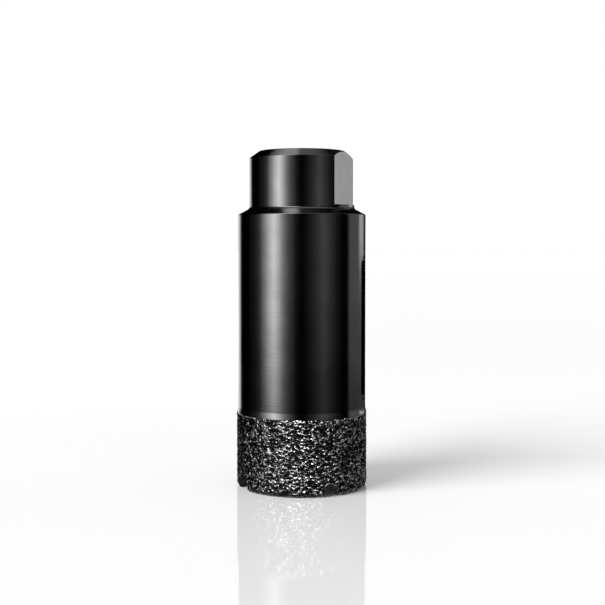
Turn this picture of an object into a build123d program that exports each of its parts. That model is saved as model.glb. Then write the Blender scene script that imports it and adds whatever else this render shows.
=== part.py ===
"""Diamond core bit for an angle grinder: a turned steel body with a threaded shank, and a brazed diamond crown.

The frame's origin is the centre of the cutting rim, and +Z runs up the axis to the shank. Lengths are in
millimetres, angles in degrees about +Z from +X.
"""

from build123d import *
import os

# Shank boss: the round neck that carries the spindle thread
boss_diameter = 28.2
boss_height = 15.3
boss_chamfer_width = 2.7
boss_chamfer_height = 1.9
boss_foot_radius = 0.8
wrench_size = 24.0
wrench_ledge = 0.9
wrench_angle = -7.0

# Spindle thread, M14 x 2: the bore is as wide as the thread's major diameter
thread_diameter = 14.0
thread_length = 22.0
thread_mouth_chamfer = 1.0

# Barrel: the tube that takes the core, closed above by the shoulder; its diameter follows the crown's
barrel_wall = 2.5
barrel_length = 51.0
shoulder_height = 1.6
roof_radius = 2.0
edge_break = 0.3

# Debris slots, cut through the barrel's wall on both sides
slot_width = 5.5
slot_length = 38.4
slot_above_crown = 1.7

# Diamond crown: grit brazed over the end of the barrel, outside, on the rim and inside
crown_diameter = 35.0
side_coat = 0.4
grit_height = 20.0
braze_flare_height = 1.6
crown_rim_radius = 1.3
crown_bore_rim_radius = 0.8
seat_depth = 0.3
rim_coat = 0.9
bore_coat = 0.5
bore_coat_height = 7.0
notch_coat = 0.5

# Rim notches, made by two passes straight across the rim, at right angles: one narrow, one wide
narrow_notch_width = 3.8
narrow_notch_angle = -49.5
wide_notch_width = 5.6
notch_height = 3.2
notch_corner_radius = 0.8

overshoot = 1.0

# Radii worked out from the diameters
boss_radius = boss_diameter / 2
thread_radius = thread_diameter / 2
crown_radius = crown_diameter / 2
barrel_radius = crown_radius - side_coat
barrel_bore_radius = barrel_radius - barrel_wall
crown_bore_radius = barrel_bore_radius - bore_coat
seat_radius = barrel_radius - seat_depth

# Levels above the rim
crown_top = grit_height + braze_flare_height
barrel_top = crown_top + barrel_length
shoulder_top = barrel_top + shoulder_height
boss_top = shoulder_top + boss_height
roof_level = boss_top - thread_length
wrench_foot = shoulder_top + wrench_ledge
slot_centre = crown_top + slot_above_crown + slot_length / 2

# Each pass's width and direction
notch_passes = (
    (narrow_notch_width, narrow_notch_angle),
    (wide_notch_width, narrow_notch_angle + 90),
)


def round_corner(sketch, radius, level, fillet_radius):
    """Round the corner of a section that stands at this radius and level."""
    fillet(sketch.vertices().sort_by_distance((radius, level, 0))[0], fillet_radius)


def make_notch_bar(width, angle, lining):
    """What one pass takes off the rim: a bar with rounded top edges, widened by the grit that lines the notch."""
    height = notch_height + lining
    with BuildPart() as bar:
        with BuildSketch(Plane.YZ.rotated((0, 0, angle))) as arch:
            with Locations((0, (height - overshoot) / 2)):
                Rectangle(width + 2 * lining, height + overshoot)
            fillet(arch.vertices().group_by(Axis.Y)[-1], notch_corner_radius + lining)
        extrude(amount=crown_radius + overshoot, both=True)
    return bar.part


def make_steel_body():
    """Boss, shoulder and barrel, turned from one bar, with its flats, slots and notches milled in."""
    with BuildPart() as body:
        with BuildSketch(Plane.XZ) as section:
            with BuildLine():
                Polyline(
                    (barrel_bore_radius, rim_coat),
                    (seat_radius, rim_coat),
                    (seat_radius, crown_top),
                    (barrel_radius, crown_top),
                    (barrel_radius, barrel_top),
                    (boss_radius, shoulder_top),
                    (boss_radius, boss_top - boss_chamfer_height),
                    (boss_radius - boss_chamfer_width, boss_top),
                    (thread_radius + thread_mouth_chamfer, boss_top),
                    (thread_radius, boss_top - thread_mouth_chamfer),
                    (thread_radius, roof_level),
                    (barrel_bore_radius, roof_level),
                    close=True,
                )
            make_face()
            round_corner(section, seat_radius, rim_coat, edge_break)
            round_corner(section, barrel_radius, barrel_top, edge_break)
            round_corner(section, boss_radius, shoulder_top, boss_foot_radius)
            round_corner(section, boss_radius, boss_top - boss_chamfer_height, edge_break)
            round_corner(section, boss_radius - boss_chamfer_width, boss_top, edge_break)
            round_corner(section, barrel_bore_radius, roof_level, roof_radius)
        revolve(axis=Axis.Z)

        # Two wrench flats on the boss, down to a round ledge above the shoulder
        with BuildSketch(Plane.XY.offset(wrench_foot)):
            with PolarLocations(wrench_size / 2 + boss_radius / 2, 2, start_angle=wrench_angle):
                Rectangle(boss_radius, boss_diameter)
        extrude(amount=boss_height, mode=Mode.SUBTRACT)

        # One cutter makes both debris slots
        with BuildSketch(Plane.YZ):
            with Locations((0, slot_centre)):
                SlotOverall(slot_length, slot_width, rotation=90)
        extrude(amount=barrel_radius + overshoot, both=True, mode=Mode.SUBTRACT)

        # The steel's notches leave room for the grit that lines them
        for width, angle in notch_passes:
            add(make_notch_bar(width, angle, notch_coat), mode=Mode.SUBTRACT)
    body.part.label = "steel_body"
    return body.part


def make_diamond_crown(steel_body):
    """The brazed grit: a sleeve over the barrel's end, rounded at the rim and carried a little way up inside."""
    with BuildPart() as crown:
        with BuildSketch(Plane.XZ) as section:
            with BuildLine():
                Polyline(
                    (crown_bore_radius, 0),
                    (crown_radius, 0),
                    (crown_radius, grit_height),
                    (barrel_radius, crown_top),
                    (seat_radius, crown_top),
                    (seat_radius, bore_coat_height),
                    (crown_bore_radius, bore_coat_height),
                    close=True,
                )
            make_face()
            round_corner(section, crown_radius, 0, crown_rim_radius)
            round_corner(section, crown_bore_radius, 0, crown_bore_rim_radius)
        revolve(axis=Axis.Z)
        for width, angle in notch_passes:
            add(make_notch_bar(width, angle, 0), mode=Mode.SUBTRACT)
        add(steel_body, mode=Mode.SUBTRACT)
    crown.part.label = "diamond_crown"
    return crown.part


os.makedirs("parts", exist_ok=True)
steel_body = make_steel_body()
diamond_crown = make_diamond_crown(steel_body)
for piece in (steel_body, diamond_crown):
    export_step(piece, f"parts/{piece.label}.step")
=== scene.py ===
# %% [markdown]
# # A diamond core bit, as a lesson in procedural Blender
#
# The bit is a turned steel tube. A threaded boss closes its top, and coarse diamond grit is brazed round
# its lower end. The CAD model brings the exact steel. This script adds what CAD leaves plain: the grit,
# the spindle thread, the surface finishes, and the studio. The CAD nodes are never moved, so every new
# piece is worked out in their frame: the origin is the centre of the rim, and Z runs up the axis.

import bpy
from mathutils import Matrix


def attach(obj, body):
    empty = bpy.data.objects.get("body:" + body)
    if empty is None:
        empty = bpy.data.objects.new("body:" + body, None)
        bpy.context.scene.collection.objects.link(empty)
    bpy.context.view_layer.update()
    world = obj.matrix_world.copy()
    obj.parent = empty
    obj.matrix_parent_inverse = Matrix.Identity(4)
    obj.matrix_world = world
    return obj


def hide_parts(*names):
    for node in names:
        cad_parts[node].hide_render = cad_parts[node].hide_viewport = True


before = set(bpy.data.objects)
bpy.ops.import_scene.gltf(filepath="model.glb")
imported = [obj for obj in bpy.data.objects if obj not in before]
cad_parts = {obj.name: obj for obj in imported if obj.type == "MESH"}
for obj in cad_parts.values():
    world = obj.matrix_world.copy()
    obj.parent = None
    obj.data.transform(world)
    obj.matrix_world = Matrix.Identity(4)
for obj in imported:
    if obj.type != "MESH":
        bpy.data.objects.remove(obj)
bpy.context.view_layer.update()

import math

import bpy
import numpy as np

MM = 0.001

# %% [markdown]
# ## The camera
#
# A long lens looks almost level, a little below the top of the bit. Most of the framing comes from a
# small downward tilt. The lens shift does the rest, so the sides of the tube stay nearly parallel.

# %% Camera
CAMERA_AZIMUTH = math.radians(14.5)
CAMERA_DISTANCE = 0.2907
CAMERA_HEIGHT = 0.0657
CAMERA_TILT = math.radians(2.155)
SENSOR_WIDTH = 36.0
FOCAL_PIXELS, FRAME_PIXELS = 1082.2, 605
LENS_SHIFT = (0.0013, -0.035)

camera_data = bpy.data.cameras.new("camera")
camera_data.sensor_width = SENSOR_WIDTH
camera_data.lens = FOCAL_PIXELS / FRAME_PIXELS * SENSOR_WIDTH
camera_data.shift_x, camera_data.shift_y = LENS_SHIFT
camera_data.clip_start, camera_data.clip_end = 0.01, 50.0
camera = bpy.data.objects.new("camera", camera_data)
bpy.context.collection.objects.link(camera)
camera.location = (
    CAMERA_DISTANCE * math.sin(CAMERA_AZIMUTH),
    -CAMERA_DISTANCE * math.cos(CAMERA_AZIMUTH),
    CAMERA_HEIGHT,
)
camera.rotation_euler = (math.pi / 2 - CAMERA_TILT, 0, CAMERA_AZIMUTH)
bpy.context.scene.camera = camera
bpy.context.scene.view_settings.view_transform = "Standard"
print("lens:", round(camera_data.lens, 1), "mm")

# %% [markdown]
# ## Helpers for surfaces
#
# Every new piece is a two-parameter grid of points. One helper turns the whole array into a mesh, closing
# it round either direction. A second one gives each grid point its outward direction, from the two
# tangents.


# %% Grid surfaces
def grid_mesh(name, points, close_rows=False, close_columns=False):
    """Makes a mesh from an array of shape (rows, columns, 3). Rows run down and columns anticlockwise
    seen from above, so each face, wound from a point to the next row, faces outwards. Closing a direction
    joins its last line to its first."""
    rows, columns, _ = points.shape
    r = np.arange(rows if close_rows else rows - 1)
    c = np.arange(columns if close_columns else columns - 1)
    r, c = np.meshgrid(r, c, indexing="ij")
    r_next, c_next = (r + 1) % rows, (c + 1) % columns
    here, below = r * columns, r_next * columns
    faces = np.stack([here + c, below + c, below + c_next, here + c_next], -1)
    mesh = bpy.data.meshes.new(name)
    mesh.from_pydata(points.reshape(-1, 3).tolist(), [], faces.reshape(-1, 4).tolist())
    mesh.polygons.foreach_set("use_smooth", np.ones(len(mesh.polygons), bool))
    mesh.update()
    obj = bpy.data.objects.new(name, mesh)
    bpy.context.collection.objects.link(obj)
    print(name, "has", 2 * len(mesh.polygons), "triangles")
    return obj


def grid_normals(points):
    """The outward normal is the cross product of the two tangents. Each tangent is the difference between
    the neighbours on either side, wrapping round in both directions."""
    along_rows = np.roll(points, -1, axis=0) - np.roll(points, 1, axis=0)
    along_columns = np.roll(points, -1, axis=1) - np.roll(points, 1, axis=1)
    normals = np.cross(along_rows, along_columns)
    return normals / np.maximum(np.linalg.norm(normals, axis=-1, keepdims=True), 1e-12)


# %% [markdown]
# ## Random fields in space
#
# Grit isn't a picture wrapped on a tube: it fills space. These fields take points in millimetres and
# return the same answer for the same place, so the tube's seam and its rim need no special care.


# %% Hash, cells and smooth noise
HASH_AXES = (73856093, 19349663, 83492791)
HASH_SEED, HASH_MIX, HASH_STEP = 2654435761, 1274126177, 374761393
LOW_32_BITS, LOW_16_BITS = 0xFFFFFFFF, 0xFFFF


def cell_random(cells, seed):
    """Three random numbers from 0 to 1 for each integer cell. The cell's three indices are multiplied by
    large odd numbers and mixed, and the low bits are kept."""
    x, y, z = np.moveaxis(cells.astype(np.int64), -1, 0)
    mixed = x * HASH_AXES[0] ^ y * HASH_AXES[1] ^ z * HASH_AXES[2] ^ (seed * HASH_SEED)
    out = []
    for turn in range(3):
        mixed = (mixed ^ (mixed >> 13)) * HASH_MIX + turn * HASH_STEP
        mixed &= LOW_32_BITS
        mixed ^= mixed >> 16
        out.append((mixed & LOW_16_BITS) / LOW_16_BITS)
    return np.stack(out, -1)


def smooth_noise(points, size, seed):
    """Random values at the corners of a cubic lattice, blended inside each cube by an S-curve along each
    axis. The result runs from -1 to 1."""
    scaled = points / size
    base = np.floor(scaled)
    part = scaled - base
    part = part * part * (3 - 2 * part)
    total = np.zeros(points.shape[:-1])
    for step in np.ndindex(2, 2, 2):
        step = np.array(step)
        weight = np.prod(np.where(step, part, 1 - part), axis=-1)
        total += weight * cell_random(base + step, seed)[..., 0]
    return total * 2 - 1


def crystals(points, size, seed):
    """Splits space into one crystal per cubic cell, each round a random centre. Returns the way from the
    nearest centre, in cells, and that crystal's own random numbers."""
    scaled = points / size
    base = np.floor(scaled)
    nearest = np.full(points.shape[:-1], np.inf)
    offset = np.zeros(points.shape)
    own = np.zeros(points.shape)
    for step in np.ndindex(3, 3, 3):
        cell = base + np.array(step) - 1
        away = scaled - (cell + cell_random(cell, seed))
        distance = np.linalg.norm(away, axis=-1)
        closer = distance < nearest
        nearest = np.where(closer, distance, nearest)
        offset = np.where(closer[..., None], away, offset)
        own = np.where(closer[..., None], cell_random(cell, seed + 1), own)
    return offset, own


print("cell 0, 0, 0 draws", np.round(cell_random(np.zeros(3), 1), 3))

# %% [markdown]
# ## The grit
#
# The real crown is crushed diamond held in a thin layer of braze. The base surface is a closed profile
# carried round the axis. At each angle, the rim's level says how high the profile's lower end stands, so
# the notches come from the same grid. Grid columns crowd together at the notch walls to keep them steep.

# %% Crown dimensions, in millimetres
CROWN_R, BARREL_R, BORE_R = 17.5, 17.1, 14.1
GRIT_TOP, FLARE_TOP, BORE_TOP = 20.0, 21.6, 7.0
RIM_ROUND, BORE_ROUND = 1.3, 0.8
NOTCH_HEIGHT, NOTCH_ROUND = 3.2, 0.8
NOTCH_WIDTHS, FIRST_NOTCH = (3.8, 5.6), -49.5
NOTCHES = [(FIRST_NOTCH + 90 * k, NOTCH_WIDTHS[k % 2]) for k in range(4)]
print("notches, as angle and width:", NOTCHES)

# %% [markdown]
# ### Columns of the grid
#
# The grid needs few columns on the plain teeth and many at the notch walls, so the columns are placed
# first and the surface follows them. Two cutter passes, one narrow and one wide, leave four notches.


# %% Angles of the grid's columns, and the rim's level at each
WALL_STEPS, CORNER_STEPS = 14, 7


def notch_half_angle(width, radius):
    """Half of a straight notch, seen from the axis, in degrees: the angle whose sine is half the width
    over the radius."""
    return np.degrees(np.arcsin(width / 2 / radius))


def notch_columns(spacing=0.65, lean=0.15):
    """Evenly spaced angles, with extra ones at each notch wall. Returns the angles in degrees, and the
    rim's level: zero outside a notch, the notch's height inside, and a quarter circle beside each
    wall."""
    even = np.arange(0, 360, spacing)
    angles, levels = [], []
    turn = np.linspace(0, math.pi / 2, CORNER_STEPS)[1:]
    wall_top = NOTCH_HEIGHT - NOTCH_ROUND
    corner = np.degrees(NOTCH_ROUND / CROWN_R * (1 - np.cos(turn)))
    inset = np.concatenate([np.linspace(-lean, 0, WALL_STEPS), corner])
    rise = np.concatenate([np.linspace(0, 1, WALL_STEPS) * wall_top, wall_top + NOTCH_ROUND * np.sin(turn)])
    for centre, width in NOTCHES:
        half = notch_half_angle(width, CROWN_R)
        even = even[np.abs((even - centre + 180) % 360 - 180) > half + 2 * lean]
        flat = half - inset[-1]
        middle = np.linspace(-flat, flat, int(2 * flat / spacing) + 2)[1:-1]
        angles += [centre - half + inset, centre + middle, centre + half - inset]
        levels += [rise, np.full(middle.size, NOTCH_HEIGHT), rise]
    angles = np.concatenate(angles + [even]) % 360
    levels = np.concatenate(levels + [np.zeros(even.size)])
    order = np.argsort(angles)
    return angles[order], levels[order]


column_angles, rim_levels = notch_columns()
print("columns:", column_angles.size, "rim level from", rim_levels.min(), "to", rim_levels.max())


# %% [markdown]
# ### The smooth crown
#
# The profile is one closed loop, so the crown has no open edge. Near the rim, its rows are lifted over
# each notch, and the lift dies away a little above it. The part of the loop that nobody sees runs inside
# the steel.


# %% The crown's profile, carried round the axis
OUTSIDE_ROWS, ROUND_ROWS, RIM_ROWS, BORE_ROWS = 90, 11, 13, 20
TOP_FADE, TOP_LIP = 0.4, 0.05
STRETCH_TOP = 5.5
WALL_TOP, WALL_REACH = 6.5, 2.2
HIDDEN_LOOP = [(14.6, 7.0), (15.3, 7.4), (16.3, 14.0), (16.9, 19.9)]


def rounded_inset(z, size):
    """How far a rounded edge of this size draws the wall in at level z: the size less a circle's half
    chord."""
    return size - np.sqrt(np.maximum(size**2 - np.clip(size - z, 0, size) ** 2, 0))


def wall_turn(angles, radius):
    """How far to turn each point so that a notch's walls stay parallel. At each wall it is the difference
    of the notch's half angles at the point's radius and at the crown's, and it dies away like a bell
    curve."""
    turn = np.zeros(radius.shape)
    for centre, width in NOTCHES:
        half = notch_half_angle(width, CROWN_R)
        extra = notch_half_angle(width, radius) - half
        for side in (-1, 1):
            off = (angles - centre - side * half + 180) % 360 - 180
            turn += side * extra * np.exp(-((off / WALL_REACH) ** 2))
    return turn


def crown_surface(angles, levels):
    """The profile goes down the outside, across the rim, up the bore, and back up inside the steel. Its
    radius at a height follows the rounded envelope. Below the stretch's top, rows move up by the rim's
    level times the share of the stretch that is left. Also returns 1 for the rows that show and 0 for the
    hidden ones."""
    arc = np.linspace(0, math.pi / 2, ROUND_ROWS)
    outside = np.linspace(GRIT_TOP + TOP_FADE, RIM_ROUND, OUTSIDE_ROWS)[:-1]
    inside = np.linspace(BORE_ROUND, BORE_TOP, BORE_ROWS)[1:]
    z_out = np.concatenate([outside, RIM_ROUND * (1 - np.sin(arc))])[:, None]
    z_in = np.concatenate([BORE_ROUND * (1 - np.cos(arc[::2])), inside])[:, None]
    z_out, z_in = (z + levels * np.clip(1 - z / STRETCH_TOP, 0, 1) for z in (z_out, z_in))

    thinning = np.clip((z_out - GRIT_TOP + TOP_FADE) / (2 * TOP_FADE), 0, 1) ** 2
    r_out = CROWN_R - rounded_inset(z_out, RIM_ROUND) - (CROWN_R - BARREL_R - TOP_LIP) * thinning
    r_in = BORE_R + rounded_inset(z_in, BORE_ROUND)
    across = np.linspace(0, 1, RIM_ROWS)[1:-1, None]
    r_rim = r_out[-1] * (1 - across) + r_in[0] * across
    z_rim = np.broadcast_to(levels, r_rim.shape)
    hidden_r, hidden_z = np.array(HIDDEN_LOOP).T
    flat = np.ones(levels.size)
    radius = np.concatenate([r_out, r_rim, r_in, hidden_r[:, None] * flat])
    height = np.concatenate([z_out, z_rim, z_in, hidden_z[:, None] * flat])
    shown = np.ones(radius.shape)
    shown[-hidden_r.size :] = 0

    theta = np.radians(angles + wall_turn(angles, radius) * (height < WALL_TOP))
    return np.stack([radius * np.cos(theta), radius * np.sin(theta), height], -1), shown


crown_points, crown_shown = crown_surface(column_angles, rim_levels)
print("crown grid:", crown_points.shape)


# %% [markdown]
# ### The grain
#
# The relief has three layers, and a slow warp bends them all. Folded noise at two sizes gives the winding
# ridges where braze climbs between crystals, and the crystals give tilted facets. The sum runs from 0 in
# a pit to 1 on a peak. Peaks stay on the envelope, and everything else sinks below it along the surface's
# normals.


# %% Relief of the grit
GRIT_DEPTH = 0.42
LENGTHWISE = np.array([1.0, 1.0, 2.1])
WARP_SIZE, WARP = 1.4, 0.5
CRYSTAL_SIZE, BROAD_SIZE, FINE_SIZE = 0.9, 0.95, 0.6
PIT_BASE, BROAD_SHARE, FINE_SHARE, FACET_SHARE = 0.04, 0.64, 0.46, 0.36
FOLD_STEEPNESS, FINE_WARP = 2.1, 1.4


def folded_noise(points, size, seed):
    """One minus a multiple of the noise's size, never below zero. It peaks along winding lines where the
    noise crosses zero."""
    return np.clip(1 - FOLD_STEEPNESS * np.abs(smooth_noise(points, size, seed)), 0, 1)


def grit_relief(points):
    """Ridges at two sizes, longer round the tube than along it, plus the crystals' tilted facets. A
    facet's height is the offset from its crystal's centre times the crystal's own random slope."""
    stretched = points * LENGTHWISE
    warp = np.stack([smooth_noise(points, WARP_SIZE, seed) for seed in (1, 2, 3)], -1) * WARP
    away, own = crystals(stretched + warp, CRYSTAL_SIZE, 11)
    facets = np.sum(away * (own - 0.5), -1)
    broad = folded_noise(stretched + warp, BROAD_SIZE, 21)
    fine = folded_noise(stretched + FINE_WARP * warp, FINE_SIZE, 22)
    relief = PIT_BASE + BROAD_SHARE * broad + FINE_SHARE * fine + FACET_SHARE * facets
    return np.clip(relief, 0, 1)


def grain_strength(points):
    """How strong the grain is at each point: all of it on the outside, less in the bore and next to the
    rim, little on the notch walls, and none at the top, where braze covers it."""
    height = points[..., 2]
    outside = np.linalg.norm(points[..., :2], axis=-1) > BORE_R + 1.0
    below_top = np.clip((GRIT_TOP + TOP_FADE - height) / 0.2, 0, 1)
    above_rim = np.clip(0.4 + 0.45 * height, 0, 1)
    on_wall = (rim_levels > 0) & (height < rim_levels + 0.05)
    return below_top * above_rim * np.where(outside, 1, 0.7) * np.where(on_wall, 0.25, 1)


relief = grit_relief(crown_points)
grain = grain_strength(crown_points)
sunk = (1 - relief) * GRIT_DEPTH * grain * crown_shown
crown_points = crown_points - grid_normals(crown_points) * sunk[..., None]
crown_points[..., 2] = np.maximum(crown_points[..., 2], 0)
grit = grid_mesh("grit", crown_points * MM, close_rows=True, close_columns=True)
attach(grit, "root")
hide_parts("diamond_crown")
print("relief from", round(float(relief.min()), 2), "to", round(float(relief.max()), 2),
      "mean", round(float(relief.mean()), 2))

# %% [markdown]
# ### What the material reads
#
# The material needs to know peaks from pits, and grain from smooth braze. A texture could only guess at
# both, so each is stored on the mesh, one number per vertex.


# %% Store the relief
def store_attribute(obj, name, values):
    """Keeps one number per vertex on the mesh, under a name that a shader can read."""
    attribute = obj.data.attributes.new(name, "FLOAT", "POINT")
    attribute.data.foreach_set("value", values.astype(np.float32).ravel())


store_attribute(grit, "relief", relief)
store_attribute(grit, "grain", grain)
print("relief and grain stored at", len(grit.data.attributes["grain"].data), "vertices")

# %% [markdown]
# ## The braze collar
#
# Above the grit, the layer flares down smoothly to the tube. It has the tube's own dark polish, so it is
# a plain turned ring: a short profile carried round the axis. The flare starts just under the steel's
# surface and leaves it at a flat angle, so its upper edge stays faint.


# %% Turned rings
FLARE_DEPTH, FLARE_CURVE = 0.30, 1.8
SHALLOW_START, INTO_STEEL = 0.008, 0.15


def turned_ring(name, profile, columns=240):
    """Carries a closed profile of (radius, height) points once round the axis."""
    angle = np.linspace(0, 2 * math.pi, columns, endpoint=False)
    radius, height = (column[:, None] for column in np.array(profile).T)
    points = np.stack([radius * np.cos(angle), radius * np.sin(angle), height + 0 * angle], -1)
    return grid_mesh(name, points * MM, close_rows=True, close_columns=True)


fall = np.linspace(0, 1, 13)
flare_r = BARREL_R - SHALLOW_START + FLARE_DEPTH * fall**FLARE_CURVE
flare_z = FLARE_TOP + (GRIT_TOP - FLARE_TOP) * fall
above = [(BARREL_R - INTO_STEEL, FLARE_TOP + 0.1), (BARREL_R - 0.02, FLARE_TOP + 0.1)]
below = [(BARREL_R + 0.22, GRIT_TOP - 0.3), (BARREL_R, GRIT_TOP - 0.7),
         (BARREL_R - INTO_STEEL, GRIT_TOP - 0.7)]
collar = turned_ring("braze_collar", above + list(zip(flare_r, flare_z)) + below)
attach(collar, "root")
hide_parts("diamond_crown")

# %% [markdown]
# ## The spindle thread
#
# CAD leaves the hole plain, at the thread's major radius. The ridge is a trapezoid carried along a
# right-hand helix. Its height grows from nothing over the first half turn and dies away over the last, as a
# tap leaves it.

# %% Thread
THREAD_MAJOR, THREAD_MINOR, PITCH = 7.0, 5.92, 2.0
THREAD_LOW, THREAD_HIGH = 68.0, 88.2
ROOT_OVERLAP, CREST_OVERLAP = 0.04, 0.03
HALF_ROOT, FLANK = 0.87, 0.62


def thread_surface(steps_per_turn=72):
    """Four corners of the trapezoid at each step of the helix. The angle grows by a full turn while the
    height grows by one pitch, anticlockwise seen from above, which makes the thread right-handed."""
    turns = (THREAD_HIGH - THREAD_LOW) / PITCH
    t = np.linspace(0, 1, int(turns * steps_per_turn) + 1)
    angle = 2 * math.pi * turns * t
    tall = np.clip(np.minimum(t, 1 - t) * turns * 2, 0, 1)
    root = np.full(t.size, THREAD_MAJOR + ROOT_OVERLAP)
    crest = THREAD_MAJOR + CREST_OVERLAP - (THREAD_MAJOR - THREAD_MINOR) * tall
    half_crest = HALF_ROOT - FLANK * tall
    middle = THREAD_LOW + (THREAD_HIGH - THREAD_LOW) * t
    corners = [(root, -HALF_ROOT), (crest, -half_crest), (crest, half_crest), (root, HALF_ROOT)]
    return np.stack([np.stack([r * np.cos(angle), r * np.sin(angle), middle + up], -1) for r, up in corners])


thread = grid_mesh("spindle_thread", thread_surface() * MM, close_rows=True)
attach(thread, "root")

# %% [markdown]
# ## Shared effects as node groups
#
# Two effects serve several finishes: the fine rings that a lathe tool leaves, and the faint smears that
# handling leaves. Each is a group with named inputs, and gives a height or a factor, not a finished
# colour.


# %% Node helpers
def new_group(name, inputs, outputs):
    """Makes a shader node group with float or vector sockets, and returns it with its two end nodes."""
    group = bpy.data.node_groups.new(name, "ShaderNodeTree")
    for label, kind, value in inputs:
        socket = group.interface.new_socket(label, in_out="INPUT", socket_type=kind)
        if value is not None:
            socket.default_value = value
    for label, kind in outputs:
        group.interface.new_socket(label, in_out="OUTPUT", socket_type=kind)
    return group, group.nodes.new("NodeGroupInput"), group.nodes.new("NodeGroupOutput")


def add_node(tree, kind, settings=None, **inputs):
    """Adds a node, sets its options, and links or sets each input. An input is given by its name, or by
    its number as i0, i1 and so on, where several share a name."""
    node = tree.nodes.new(kind)
    for key, value in (settings or {}).items():
        setattr(node, key, value)
    for key, value in inputs.items():
        numbered = key[0] == "i" and key[1:].isdigit()
        socket = node.inputs[int(key[1:]) if numbered else key.replace("_", " ")]
        if isinstance(value, bpy.types.NodeSocket):
            tree.links.new(value, socket)
        else:
            socket.default_value = value
    return node


def maths(tree, operation, *values):
    """A maths node on sockets or numbers, and returns its result."""
    numbered = {f"i{index}": value for index, value in enumerate(values)}
    return add_node(tree, "ShaderNodeMath", {"operation": operation}, **numbered).outputs[0]


def remap(tree, value, low, high, start=0.0, stop=1.0, smooth=True):
    """Maps low..high to start..stop, on an S-curve or on a straight line, and holds the ends."""
    settings = {"interpolation_type": "SMOOTHSTEP"} if smooth else None
    node = add_node(tree, "ShaderNodeMapRange", settings, i0=value, i1=low, i2=high, i3=start, i4=stop)
    return node.outputs[0]


# %% [markdown]
# ### The two effects
#
# A lathe leaves rings, so the first effect is noise that depends on height alone, with a little wander.
# Hands and oil leave cloudy patches, so the second is soft noise in space. Neither needs a seam or an
# unwrapped map.


# %% Turning marks and smears
MM_PER_M = 1000.0


def make_turning_marks():
    """Rings round the axis. The height in rings, plus a slow wander, picks a place on a one-dimensional
    noise."""
    group, start, end = new_group(
        "turning_marks",
        [("Position", "NodeSocketVector", None), ("Rings per mm", "NodeSocketFloat", 4.0),
         ("Wander", "NodeSocketFloat", 0.3)],
        [("Height", "NodeSocketFloat")],
    )
    position = start.outputs["Position"]
    height = add_node(group, "ShaderNodeSeparateXYZ", i0=position).outputs["Z"]
    rings_per_m = maths(group, "MULTIPLY", start.outputs["Rings per mm"], MM_PER_M)
    level = maths(group, "MULTIPLY", height, rings_per_m)
    wander = add_node(group, "ShaderNodeTexNoise", {"noise_dimensions": "3D"}, Vector=position, Scale=120.0,
                      Detail=2.0).outputs[0]
    total = maths(group, "ADD", level, maths(group, "MULTIPLY", wander, start.outputs["Wander"]))
    rings = add_node(group, "ShaderNodeTexNoise", {"noise_dimensions": "1D"}, W=total, Scale=1.0, Detail=3.0,
                     Roughness=0.6)
    group.links.new(rings.outputs[0], end.inputs["Height"])
    return group


def make_smears():
    """Soft noise in space, stretched in contrast so that it runs from 0 to 1."""
    group, start, end = new_group(
        "smears",
        [("Position", "NodeSocketVector", None), ("Size mm", "NodeSocketFloat", 8.0)],
        [("Factor", "NodeSocketFloat")],
    )
    scale = maths(group, "DIVIDE", MM_PER_M, start.outputs["Size mm"])
    noise = add_node(group, "ShaderNodeTexNoise", {"noise_dimensions": "3D"},
                     Vector=start.outputs["Position"], Scale=scale, Detail=4.0, Roughness=0.55)
    group.links.new(remap(group, noise.outputs[0], 0.35, 0.65), end.inputs["Factor"])
    return group


turning_marks, smears = make_turning_marks(), make_smears()
print("groups:", [g.name for g in bpy.data.node_groups])


# %% [markdown]
# ## Blackened steel
#
# The steel is chemically blackened and oiled. It is a dark metal with a tight gloss, so its look is
# almost all reflection. The rings bend the reflections up and down but not sideways, which draws them out
# along the tube.

# %% Steel material
STEEL_CLEAN, STEEL_SMEARED = (0.36, 0.36, 0.365, 1), (0.42, 0.42, 0.425, 1)
RING_DEPTH = 0.02 * MM


def new_material(name):
    """A node material with its Principled shader already joined to the output."""
    material = bpy.data.materials.new(name)
    material.use_nodes = True
    tree = material.node_tree
    return material, tree, tree.nodes["Principled BSDF"]


def make_steel():
    """Metal whose roughness and colour vary a little with the smears, and whose bump is the turning
    marks."""
    material, tree, shader = new_material("blackened_steel")
    position = add_node(tree, "ShaderNodeTexCoord").outputs["Object"]
    marks = add_node(tree, "ShaderNodeGroup", {"node_tree": turning_marks}, Position=position).outputs[0]
    smear = add_node(tree, "ShaderNodeGroup", {"node_tree": smears}, Position=position).outputs[0]
    colour = add_node(tree, "ShaderNodeMix", {"data_type": "RGBA"}, i0=smear, i6=STEEL_CLEAN,
                      i7=STEEL_SMEARED)
    rough = remap(tree, smear, 0.0, 1.0, 0.11, 0.14, smooth=False)
    bump = add_node(tree, "ShaderNodeBump", Strength=0.38, Distance=RING_DEPTH, Height=marks)
    tree.links.new(colour.outputs[2], shader.inputs["Base Color"])
    tree.links.new(rough, shader.inputs["Roughness"])
    tree.links.new(bump.outputs[0], shader.inputs["Normal"])
    shader.inputs["Metallic"].default_value = 1.0
    return material


steel = make_steel()
for piece in (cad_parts["steel_body"], collar, thread):
    piece.data.materials.clear()
    piece.data.materials.append(steel)
print("steel on", [piece.name for piece in (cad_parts["steel_body"], collar, thread)])
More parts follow.
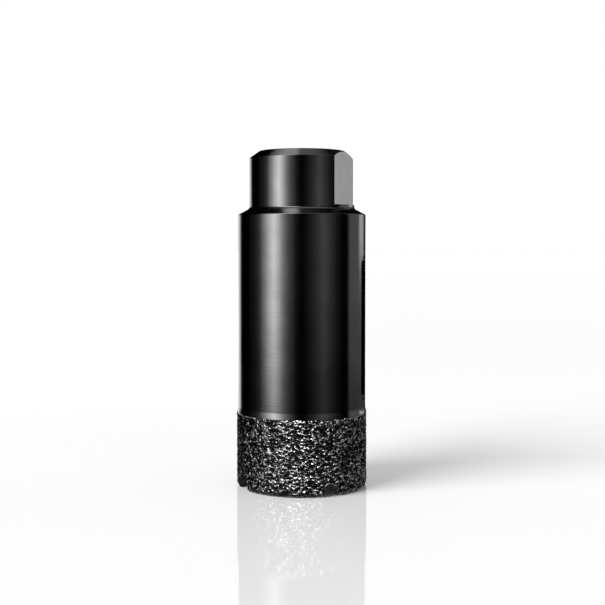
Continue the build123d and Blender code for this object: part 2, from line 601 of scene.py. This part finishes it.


# %% [markdown]
# ## Diamond grit in braze
#
# Braze and crystal are both dark and shiny, and what tells them apart is height. So the material goes by
# the stored relief: peaks are smooth and carry a painted highlight, pits are rougher and carry painted
# shade. The ridges are painted paler too, as a highlight. A fine winding bump, too small for the mesh,
# breaks each ridge into glints. Where there is no grain, the braze is an even grey.

# %% Grit material
# The pit colour is painted shade and the peak colour a painted highlight; the two levels set where the
# relief turns from one to the other.
PAINTED_SHADE_COLOUR, PAINTED_HIGHLIGHT_COLOUR = (0.012, 0.012, 0.0125, 1), (0.78, 0.78, 0.77, 1)
GRAZING_COLOUR = (0.2, 0.2, 0.2, 1)
PAINTED_SHADE_LEVEL, PAINTED_HIGHLIGHT_LEVEL = 0.6, 1.08
PLAIN_BRAZE = 0.4
RIDGE_HEIGHT = 0.2 * MM


def make_grit():
    """Metal whose colour and roughness follow the relief: the colour is painted shade in the pits and a
    painted highlight on the peaks. Ridges lie where a noise crosses its middle value: one minus the distance
    from that value, drawn out round the tube. They lift the surface, and they lighten the colour as a
    painted highlight."""
    material, tree, shader = new_material("diamond_grit")
    position = add_node(tree, "ShaderNodeTexCoord").outputs["Object"]
    height = add_node(tree, "ShaderNodeAttribute", {"attribute_name": "relief"}).outputs["Fac"]
    grain = add_node(tree, "ShaderNodeAttribute", {"attribute_name": "grain"}).outputs["Fac"]
    stretch = add_node(tree, "ShaderNodeVectorMath", {"operation": "MULTIPLY"}, i0=position,
                       i1=(1.0, 1.0, 1.9))
    winding = add_node(tree, "ShaderNodeTexNoise", {"noise_dimensions": "3D"}, Vector=stretch.outputs[0],
                       Scale=720.0, Detail=0.5, Roughness=0.4, Distortion=0.7).outputs[0]
    from_middle = maths(tree, "ABSOLUTE", maths(tree, "SUBTRACT", winding, 0.5))
    ridge = remap(tree, from_middle, 0.0, 0.22, 1.0, 0.0, smooth=False)
    strength = maths(tree, "MULTIPLY", grain, 0.6)
    bump = add_node(tree, "ShaderNodeBump", Strength=strength, Distance=RIDGE_HEIGHT, Height=ridge)
    cells = add_node(tree, "ShaderNodeTexVoronoi", {"feature": "F1"}, Vector=position, Scale=1500.0)
    fleck = add_node(tree, "ShaderNodeSeparateColor", i0=cells.outputs["Color"]).outputs[0]
    # Painted shade and highlight: the relief, plus a share of the ridges, sets how pale the colour is.
    peak = remap(tree, maths(tree, "MULTIPLY_ADD", ridge, 0.3, height), PAINTED_SHADE_LEVEL, PAINTED_HIGHLIGHT_LEVEL)
    flecked = maths(tree, "MULTIPLY_ADD", fleck, 0.04, peak)
    paleness = add_node(tree, "ShaderNodeMix", {"data_type": "FLOAT"}, i0=grain, i2=PLAIN_BRAZE,
                        i3=flecked).outputs[0]
    colour = add_node(tree, "ShaderNodeMix", {"data_type": "RGBA"}, i0=paleness, i6=PAINTED_SHADE_COLOUR,
                      i7=PAINTED_HIGHLIGHT_COLOUR)
    rough = remap(tree, maths(tree, "MULTIPLY", paleness, grain), 0.0, 1.0, 0.3, 0.1, smooth=False)
    tree.links.new(colour.outputs[2], shader.inputs["Base Color"])
    tree.links.new(rough, shader.inputs["Roughness"])
    tree.links.new(bump.outputs[0], shader.inputs["Normal"])
    shader.inputs["Metallic"].default_value = 1.0
    shader.inputs["Specular Tint"].default_value = GRAZING_COLOUR
    return material


grit_material = make_grit()
crown_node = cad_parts["diamond_crown"]
grit.data.materials.append(grit_material)
crown_node.data.materials.clear()
crown_node.data.materials.append(grit_material)
print("grit material on", grit.name, "and", crown_node.name)


# %% [markdown]
# ## The studio
#
# A dark metal shows its surroundings, so the surroundings are the lighting. The world is white to the
# camera. To reflections it is a dark room with bright areas at chosen directions round the object.
# Everything else gets an even pale light. Directions are azimuths in degrees from the camera's side,
# positive to its right.

# %% Directions and strips
KEY_STRIP = [(-112, 0.0), (-92, 0.02), (-80, 0.07), (-68, 0.52), (-58, 1.20), (-50, 1.62), (-42, 1.05),
             (-33, 0.40), (-24, 0.14), (-11, 0.015), (0, 0.0)]
FILL_STRIP = [(12, 0.015), (26, 0.055), (39, 0.125), (50, 0.07), (64, 0.02), (78, 0.0)]
SIDE_WALL = [(91, 0.0), (95, 0.15), (150, 0.15), (160, 0.0)]
STRIPS = [(-180, 0.0)] + KEY_STRIP + FILL_STRIP + SIDE_WALL + [(180, 0.0)]
RAMP_TOP = 2.0


def direction_vector(azimuth, elevation):
    """The unit vector in the scene that points to an azimuth and an elevation, both in degrees."""
    a, e = math.radians(azimuth) + CAMERA_AZIMUTH, math.radians(elevation)
    return np.array([math.sin(a) * math.cos(e), -math.cos(a) * math.cos(e), math.sin(e)])


def share_of(azimuth):
    """Where an azimuth lies on the full turn: 0 and 1 behind the object, a half at the camera's side."""
    return (azimuth + 180) / 360


FRONT, RIGHT = direction_vector(0, 0), direction_vector(90, 0)
print("strips:", len(STRIPS), "stops, brightest", max(value for _, value in STRIPS))

# %% [markdown]
# ### The world
#
# Each bright area is a product of soft steps in azimuth and in height. The strips stand at the left
# front, the right front and the right side, and streak the tube lengthwise. The soft box, the skylight
# and the ceiling are too high for an upright wall to mirror. They are there for the shoulder, the chamfer
# and the grit's facets. A brighter room would wash the black out, so most directions stay dark.


# %% World
def bright_areas(tree, direction):
    """Sums what a mirror sees in a direction, from its azimuth as a share of the turn and its upward
    part."""

    def band(value, rise, fall, peak=1.0):
        return maths(tree, "MULTIPLY", remap(tree, value, *rise, 0.0, peak),
                     remap(tree, value, *fall, 1.0, 0.0))

    def along(axis):
        return add_node(tree, "ShaderNodeVectorMath", {"operation": "DOT_PRODUCT"}, i0=direction,
                        i1=axis).outputs["Value"]

    def off_azimuth(azimuth):
        return maths(tree, "ABSOLUTE", maths(tree, "SUBTRACT", share, share_of(azimuth)))

    split = add_node(tree, "ShaderNodeSeparateXYZ", i0=direction)
    up = split.outputs["Z"]
    angle = maths(tree, "ARCTAN2", split.outputs["Y"], split.outputs["X"])
    camera_share = (math.pi / 2 - CAMERA_AZIMUTH) / (2 * math.pi) + 0.5
    share = maths(tree, "FRACT", maths(tree, "MULTIPLY_ADD", angle, 1 / (2 * math.pi), camera_share))

    ramp = add_node(tree, "ShaderNodeValToRGB", i0=share)
    elements = ramp.color_ramp.elements
    while len(elements) < len(STRIPS):
        elements.new(0.5)
    for element, (azimuth, _) in zip(elements, STRIPS):
        element.position = share_of(azimuth)
    for element, (_, value) in zip(elements, STRIPS):
        element.color = (value / RAMP_TOP, value / RAMP_TOP, value / RAMP_TOP, 1)
    strips = maths(tree, "MULTIPLY", maths(tree, "MULTIPLY", ramp.outputs[0], RAMP_TOP),
                   remap(tree, up, -0.26, 0.0, 0.05))

    right_edges = (share_of(122), share_of(127)), (share_of(142), share_of(147))
    low_right = maths(tree, "MULTIPLY", band(share, *right_edges, 0.64),
                      band(up, (-0.035, -0.01), (0.12, 0.25)))
    room = maths(tree, "MULTIPLY", maths(tree, "MAXIMUM", strips, low_right),
                 remap(tree, up, 0.5, 0.72, 1.0, 0.03))
    wall_behind_left = maths(tree, "MULTIPLY", remap(tree, share, share_of(-152), share_of(-138), 0.95, 0.0),
                             remap(tree, up, 0.08, 0.16, 1.0, 0.0))
    behind = maths(tree, "MULTIPLY", wall_behind_left, remap(tree, up, -0.45, -0.22, 0.15))
    walls = maths(tree, "MAXIMUM", room, behind)

    soft_box = maths(tree, "MULTIPLY", remap(tree, off_azimuth(-32), 8 / 360, 32 / 360, 1.3, 0.0),
                     band(up, (0.55, 0.68), (0.86, 0.92)))
    ceiling = remap(tree, up, 0.72, 0.96, 0.0, 0.19)
    skylight = maths(tree, "MULTIPLY", band(along(RIGHT), (-0.36, -0.18), (-0.08, 0.01), 0.5),
                     maths(tree, "MULTIPLY", remap(tree, along(FRONT), -0.30, -0.24, 1.0, 0.0),
                           remap(tree, up, 0.68, 0.76)))
    floor_glow = maths(tree, "MULTIPLY", remap(tree, off_azimuth(0), 75 / 360, 125 / 360, 0.03, 0.45),
                       remap(tree, up, -0.36, -0.26, 1.0, 0.0))
    above_and_below = maths(tree, "ADD", maths(tree, "MAXIMUM", ceiling, skylight), floor_glow)
    return maths(tree, "ADD", maths(tree, "ADD", walls, soft_box), above_and_below)


def make_world():
    """White to the camera, the bright areas to reflected rays, and an even pale light to all others."""
    world = bpy.data.worlds.new("studio")
    bpy.context.scene.world = world
    world.use_nodes = True
    tree = world.node_tree
    direction = add_node(tree, "ShaderNodeTexCoord").outputs["Generated"]
    light_path = add_node(tree, "ShaderNodeLightPath")
    glossy, seen = light_path.outputs["Is Glossy Ray"], light_path.outputs["Is Camera Ray"]
    to_object = add_node(tree, "ShaderNodeMix", {"data_type": "FLOAT"}, i0=glossy, i2=0.40,
                         i3=bright_areas(tree, direction)).outputs[0]
    strength = add_node(tree, "ShaderNodeMix", {"data_type": "FLOAT"}, i0=seen, i2=to_object,
                        i3=1.0).outputs[0]
    background = tree.nodes["Background"]
    tree.links.new(strength, background.inputs["Strength"])
    background.inputs["Color"].default_value = (1, 1, 1, 1)
    print("world:", len(tree.nodes), "nodes")


make_world()

# %% [markdown]
# ### The floor
#
# The floor is glossy white, and its reflections of the object are real. To other reflected rays it is
# clear, so that the strips reach below the horizon too.

# %% Floor
FLOOR_HALF = 6.0


def make_floor():
    """A wide white sheet at the rim's level, whose shader is clear to glossy rays."""
    mesh = bpy.data.meshes.new("floor")
    corners = [(x * FLOOR_HALF, y * FLOOR_HALF, 0) for x, y in ((-1, -1), (1, -1), (1, 1), (-1, 1))]
    mesh.from_pydata(corners, [], [(0, 1, 2, 3)])
    floor = bpy.data.objects.new("floor", mesh)
    bpy.context.collection.objects.link(floor)
    material, tree, shader = new_material("floor")
    shader.inputs["Base Color"].default_value = (0.93, 0.93, 0.93, 1)
    shader.inputs["Roughness"].default_value = 0.05
    clear = add_node(tree, "ShaderNodeBsdfTransparent")
    light_path = add_node(tree, "ShaderNodeLightPath")
    mix = add_node(tree, "ShaderNodeMixShader", i0=light_path.outputs["Is Glossy Ray"], i1=shader.outputs[0],
                   i2=clear.outputs[0])
    tree.links.new(mix.outputs[0], tree.nodes["Material Output"].inputs["Surface"])
    mesh.materials.append(material)
    return floor


floor = make_floor()
print("floor:", 2 * FLOOR_HALF, "m across")


# %% [markdown]
# ### Panels for the floor alone
#
# A glossy floor would mirror the dark room and turn grey. Light linking lets four bright panels shine on
# the floor and on nothing else, so it stays white while the steel keeps its room.

# %% Backdrop panels
PANEL_HEIGHT, PANEL_RADIANCE = 3.0, 0.97


def linked_to(name, piece):
    """A collection that holds one piece, for lights that shine on it alone."""
    collection = bpy.data.collections.new(name)
    collection.objects.link(piece)
    return collection


def backdrop_panels(distance, height, radiance, receivers):
    """Four tall glowing panels in a square round the object. A panel's energy is its radiance times its
    area times pi."""
    for quarter in range(4):
        data = bpy.data.lights.new("panel", "AREA")
        data.shape, data.size, data.size_y = "RECTANGLE", 2 * distance, height
        data.energy = radiance * math.pi * data.size * data.size_y
        panel = bpy.data.objects.new("panel", data)
        bpy.context.collection.objects.link(panel)
        turn = quarter * math.pi / 2
        panel.location = (distance * math.sin(turn), -distance * math.cos(turn), height / 2)
        panel.rotation_euler = (math.pi / 2, 0, turn)
        panel.visible_camera = panel.visible_diffuse = False
        panel.light_linking.receiver_collection = receivers


backdrop_panels(FLOOR_HALF + 0.05, PANEL_HEIGHT, PANEL_RADIANCE, linked_to("floor_only", floor))
print("panels:", sum(light.type == "AREA" for light in bpy.data.lights))


# %% [markdown]
# ### Suns
#
# One wide sun from the left gives the soft shadow. It stays out of reflections, where it would add a
# round spot. Two more shine on the grit alone, so that its facets sparkle and the smooth steel stays
# dark.

# %% Key light and glint lights
def sun(name, azimuth, elevation, strength, spread):
    """A sun at a direction in degrees. Its spread is the angle that it fills in the sky, and sets how
    soft its shadow is."""
    data = bpy.data.lights.new(name, "SUN")
    data.energy, data.angle = strength, math.radians(spread)
    light = bpy.data.objects.new(name, data)
    bpy.context.collection.objects.link(light)
    light.rotation_euler = (math.pi / 2 - math.radians(elevation), 0, math.radians(azimuth) + CAMERA_AZIMUTH)
    return light


sun("key", -54, 33, 3.9, 40).visible_glossy = False
sparkling = linked_to("sparkling", grit)
for azimuth, elevation, strength, spread in ((-6, 34, 1.42, 34), (50, 28, 0.36, 40)):
    sun("glint", azimuth, elevation, strength, spread).light_linking.receiver_collection = sparkling
print("suns:", sum(light.type == "SUN" for light in bpy.data.lights))
